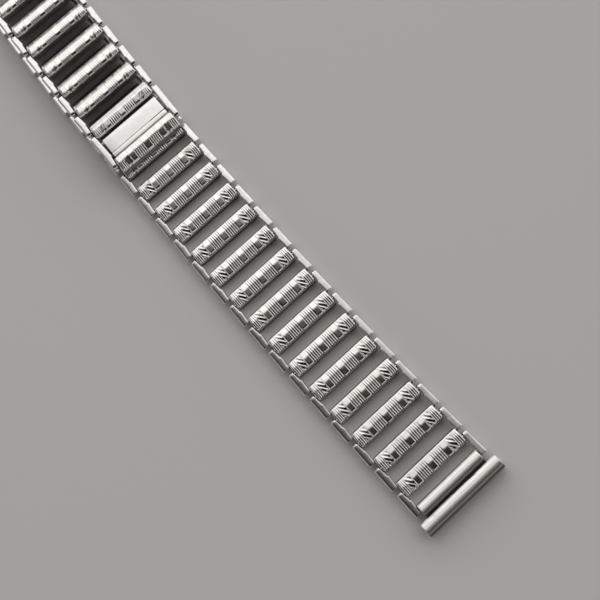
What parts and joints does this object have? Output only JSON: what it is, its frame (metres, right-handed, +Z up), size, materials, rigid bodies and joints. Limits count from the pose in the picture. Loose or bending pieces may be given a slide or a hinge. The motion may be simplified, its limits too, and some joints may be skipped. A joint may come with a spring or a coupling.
{
  "type": "watch bracelet",
  "caption": "Ladder watch bracelet of rolled, engraved rungs on open side links, closed flat through a lift-up clasp, with a double-barrel end piece at each end.",
  "frame": {"origin": "on the ground under the middle of the closed strap's overall box", "axes": "+X along the strap towards the long strand's end piece, +Y along the rungs, +Z up out of the engraved face"},
  "size_m": [0.1448, 0.0198, 0.0056],
  "materials": {
    "rung_steel": "polished, worn, with engraved crowns",
    "link_steel": "satin, worn bright at the edges",
    "tube_steel": "satin",
    "plate_steel": "polished",
    "pin_steel": "satin"
  },
  "bodies": {
    "clasp": {"clasp_frame": "link_steel", "clasp_end_rung": "rung_steel", "clasp_hinge_pin": "pin_steel", "upper_rung_1": "rung_steel", "tail_link_16": "rung_steel"},
    "latch": {"clasp_plate": "plate_steel", "clasp_hook": "link_steel"},
    "link_15": {"frame_15": "link_steel", "rung_15": "rung_steel"},
    "link_14": {"frame_14": "link_steel", "rung_14": "rung_steel"},
    "link_13": {"frame_13": "link_steel", "rung_13": "rung_steel"},
    "link_12": {"frame_12": "link_steel", "rung_12": "rung_steel"},
    "link_11": {"frame_11": "link_steel", "rung_11": "rung_steel"},
    "link_10": {"frame_10": "link_steel", "rung_10": "rung_steel"},
    "link_9": {"frame_9": "link_steel", "rung_9": "rung_steel"},
    "link_8": {"frame_8": "link_steel", "rung_8": "rung_steel"},
    "link_7": {"frame_7": "link_steel", "rung_7": "rung_steel"},
    "link_6": {"frame_6": "link_steel", "rung_6": "rung_steel"},
    "link_5": {"frame_5": "link_steel", "rung_5": "rung_steel"},
    "link_4": {"frame_4": "link_steel", "rung_4": "rung_steel"},
    "link_3": {"frame_3": "link_steel", "rung_3": "rung_steel"},
    "link_2": {"frame_2": "link_steel", "rung_2": "rung_steel"},
    "link_1": {"frame_1": "link_steel", "rung_1": "rung_steel"},
    "link_0": {"frame_0": "link_steel"},
    "lower_end": {"lower_end_piece": "tube_steel"},
    "short_link_1": {"upper_frame_1": "link_steel", "upper_rung_2": "rung_steel"},
    "short_link_2": {"upper_frame_2": "link_steel", "upper_rung_3": "rung_steel"},
    "short_link_3": {"upper_frame_3": "link_steel", "upper_rung_4": "rung_steel"},
    "short_link_4": {"upper_frame_4": "link_steel", "upper_rung_5": "rung_steel"},
    "short_link_5": {"upper_frame_5": "link_steel", "upper_rung_6": "rung_steel"},
    "short_link_6": {"upper_frame_6": "link_steel", "upper_rung_7": "rung_steel"},
    "short_link_7": {"upper_frame_7": "link_steel"},
    "upper_end": {"upper_end_piece": "tube_steel"},
    "tail_17": {"tail_link_17": "rung_steel"},
    "tail_18": {"tail_link_18": "rung_steel"},
    "tail_19": {"tail_link_19": "rung_steel"},
    "tail_20": {"tail_link_20": "rung_steel"},
    "tail_21": {"tail_link_21": "rung_steel"},
    "tail_22": {"tail_link_22": "rung_steel"}
  },
  "joints": [
    {"name": "latch_lift", "type": "hinge", "parent": "clasp", "child": "latch", "pos_m": [-0.02514, -0.00063, 0.004], "axis": [-0.0188, -0.9998, 0], "range_deg": [0, 70]},
    {"name": "link_15_bend", "type": "hinge", "parent": "clasp", "child": "link_15", "pos_m": [-0.02365, -0.00111, 0.0014], "axis": [0.0147, 0.9999, 0], "range_deg": [-2, 15]},
    {"name": "link_14_bend", "type": "hinge", "parent": "link_15", "child": "link_14", "pos_m": [-0.01785, -0.0012, 0.0014], "axis": [0.0105, 0.9999, 0], "range_deg": [-5, 15]},
    {"name": "link_13_bend", "type": "hinge", "parent": "link_14", "child": "link_13", "pos_m": [-0.01205, -0.00126, 0.0014], "axis": [0.0063, 1, 0], "range_deg": [-5, 15]},
    {"name": "link_12_bend", "type": "hinge", "parent": "link_13", "child": "link_12", "pos_m": [-0.00625, -0.00129, 0.0014], "axis": [0.0021, 1, 0], "range_deg": [-5, 15]},
    {"name": "link_11_bend", "type": "hinge", "parent": "link_12", "child": "link_11", "pos_m": [-0.00045, -0.0013, 0.0014], "axis": [-0.0021, 1, 0], "range_deg": [-5, 15]},
    {"name": "link_10_bend", "type": "hinge", "parent": "link_11", "child": "link_10", "pos_m": [0.00535, -0.00129, 0.0014], "axis": [-0.0063, 1, 0], "range_deg": [-5, 15]},
    {"name": "link_9_bend", "type": "hinge", "parent": "link_10", "child": "link_9", "pos_m": [0.01115, -0.00126, 0.0014], "axis": [-0.0105, 0.9999, 0], "range_deg": [-5, 15]},
    {"name": "link_8_bend", "type": "hinge", "parent": "link_9", "child": "link_8", "pos_m": [0.01695, -0.0012, 0.0014], "axis": [-0.0147, 0.9999, 0], "range_deg": [-5, 15]},
    {"name": "link_7_bend", "type": "hinge", "parent": "link_8", "child": "link_7", "pos_m": [0.02274, -0.00111, 0.0014], "axis": [-0.0188, 0.9998, 0], "range_deg": [-5, 15]},
    {"name": "link_6_bend", "type": "hinge", "parent": "link_7", "child": "link_6", "pos_m": [0.02854, -0.001, 0.0014], "axis": [-0.023, 0.9997, 0], "range_deg": [-5, 15]},
    {"name": "link_5_bend", "type": "hinge", "parent": "link_6", "child": "link_5", "pos_m": [0.03434, -0.00087, 0.0014], "axis": [-0.0272, 0.9996, 0], "range_deg": [-5, 15]},
    {"name": "link_4_bend", "type": "hinge", "parent": "link_5", "child": "link_4", "pos_m": [0.04014, -0.00071, 0.0014], "axis": [-0.0314, 0.9995, 0], "range_deg": [-5, 15]},
    {"name": "link_3_bend", "type": "hinge", "parent": "link_4", "child": "link_3", "pos_m": [0.04594, -0.00053, 0.0014], "axis": [-0.0356, 0.9994, 0], "range_deg": [-5, 15]},
    {"name": "link_2_bend", "type": "hinge", "parent": "link_3", "child": "link_2", "pos_m": [0.05173, -0.00032, 0.0014], "axis": [-0.0398, 0.9992, 0], "range_deg": [-5, 15]},
    {"name": "link_1_bend", "type": "hinge", "parent": "link_2", "child": "link_1", "pos_m": [0.05753, -0.00009, 0.0014], "axis": [-0.044, 0.999, 0], "range_deg": [-5, 15]},
    {"name": "link_0_bend", "type": "hinge", "parent": "link_1", "child": "link_0", "pos_m": [0.06332, 0.00016, 0.0014], "axis": [-0.0482, 0.9988, 0], "range_deg": [-5, 15]},
    {"name": "lower_end_swivel", "type": "hinge", "parent": "link_0", "child": "lower_end", "pos_m": [0.06757, 0.00037, 0.0014], "axis": [-0.0482, 0.9988, 0], "range_deg": [-30, 30]},
    {"name": "short_link_1_bend", "type": "hinge", "parent": "clasp", "child": "short_link_1", "pos_m": [-0.02854, -0.00057, 0.00425], "axis": [-0.023, -0.9997, 0], "range_deg": [0, 10]},
    {"name": "short_link_2_bend", "type": "hinge", "parent": "short_link_1", "child": "short_link_2", "pos_m": [-0.03434, -0.00043, 0.00425], "axis": [-0.0272, -0.9996, 0], "range_deg": [0, 10]},
    {"name": "short_link_3_bend", "type": "hinge", "parent": "short_link_2", "child": "short_link_3", "pos_m": [-0.04014, -0.00028, 0.00425], "axis": [-0.0314, -0.9995, 0], "range_deg": [0, 10]},
    {"name": "short_link_4_bend", "type": "hinge", "parent": "short_link_3", "child": "short_link_4", "pos_m": [-0.04594, -0.00009, 0.00425], "axis": [-0.0356, -0.9994, 0], "range_deg": [0, 10]},
    {"name": "short_link_5_bend", "type": "hinge", "parent": "short_link_4", "child": "short_link_5", "pos_m": [-0.05173, 0.00011, 0.00425], "axis": [-0.0398, -0.9992, 0], "range_deg": [0, 10]},
    {"name": "short_link_6_bend", "type": "hinge", "parent": "short_link_5", "child": "short_link_6", "pos_m": [-0.05753, 0.00034, 0.00425], "axis": [-0.044, -0.999, 0], "range_deg": [0, 10]},
    {"name": "short_link_7_bend", "type": "hinge", "parent": "short_link_6", "child": "short_link_7", "pos_m": [-0.06332, 0.0006, 0.00425], "axis": [-0.0482, -0.9988, 0], "range_deg": [0, 6]},
    {"name": "upper_end_swivel", "type": "hinge", "parent": "short_link_7", "child": "upper_end", "pos_m": [-0.06757, 0.0008, 0.00425], "axis": [-0.0482, -0.9988, 0], "range_deg": [-30, 15]},
    {"name": "tail_17_bend", "type": "hinge", "parent": "clasp", "child": "tail_17", "pos_m": [-0.02945, -0.001, 0.0014], "axis": [-0.0188, -0.9998, 0], "range_deg": [0, 12.2]},
    {"name": "tail_18_bend", "type": "hinge", "parent": "tail_17", "child": "tail_18", "pos_m": [-0.03525, -0.00087, 0.0014], "axis": [-0.023, -0.9997, 0], "range_deg": [0, 12.2]},
    {"name": "tail_19_bend", "type": "hinge", "parent": "tail_18", "child": "tail_19", "pos_m": [-0.04105, -0.00071, 0.0014], "axis": [-0.0272, -0.9996, 0], "range_deg": [0, 12.2]},
    {"name": "tail_20_bend", "type": "hinge", "parent": "tail_19", "child": "tail_20", "pos_m": [-0.04685, -0.00053, 0.0014], "axis": [-0.0314, -0.9995, 0], "range_deg": [0, 12.2]},
    {"name": "tail_21_bend", "type": "hinge", "parent": "tail_20", "child": "tail_21", "pos_m": [-0.05264, -0.00032, 0.0014], "axis": [-0.0356, -0.9994, 0], "range_deg": [0, 12.2]},
    {"name": "tail_22_bend", "type": "hinge", "parent": "tail_21", "child": "tail_22", "pos_m": [-0.05844, -0.00009, 0.0014], "axis": [-0.0398, -0.9992, 0], "range_deg": [0, 12.2]}
  ],
  "couplings": [
    {"joint": "tail_17_bend", "follows": "short_link_1_bend", "ratio": 1.2},
    {"joint": "tail_18_bend", "follows": "short_link_2_bend", "ratio": 1.2},
    {"joint": "tail_19_bend", "follows": "short_link_3_bend", "ratio": 1.2},
    {"joint": "tail_20_bend", "follows": "short_link_4_bend", "ratio": 1.2},
    {"joint": "tail_21_bend", "follows": "short_link_5_bend", "ratio": 1.2},
    {"joint": "tail_22_bend", "follows": "short_link_6_bend", "ratio": 1.2}
  ]
}
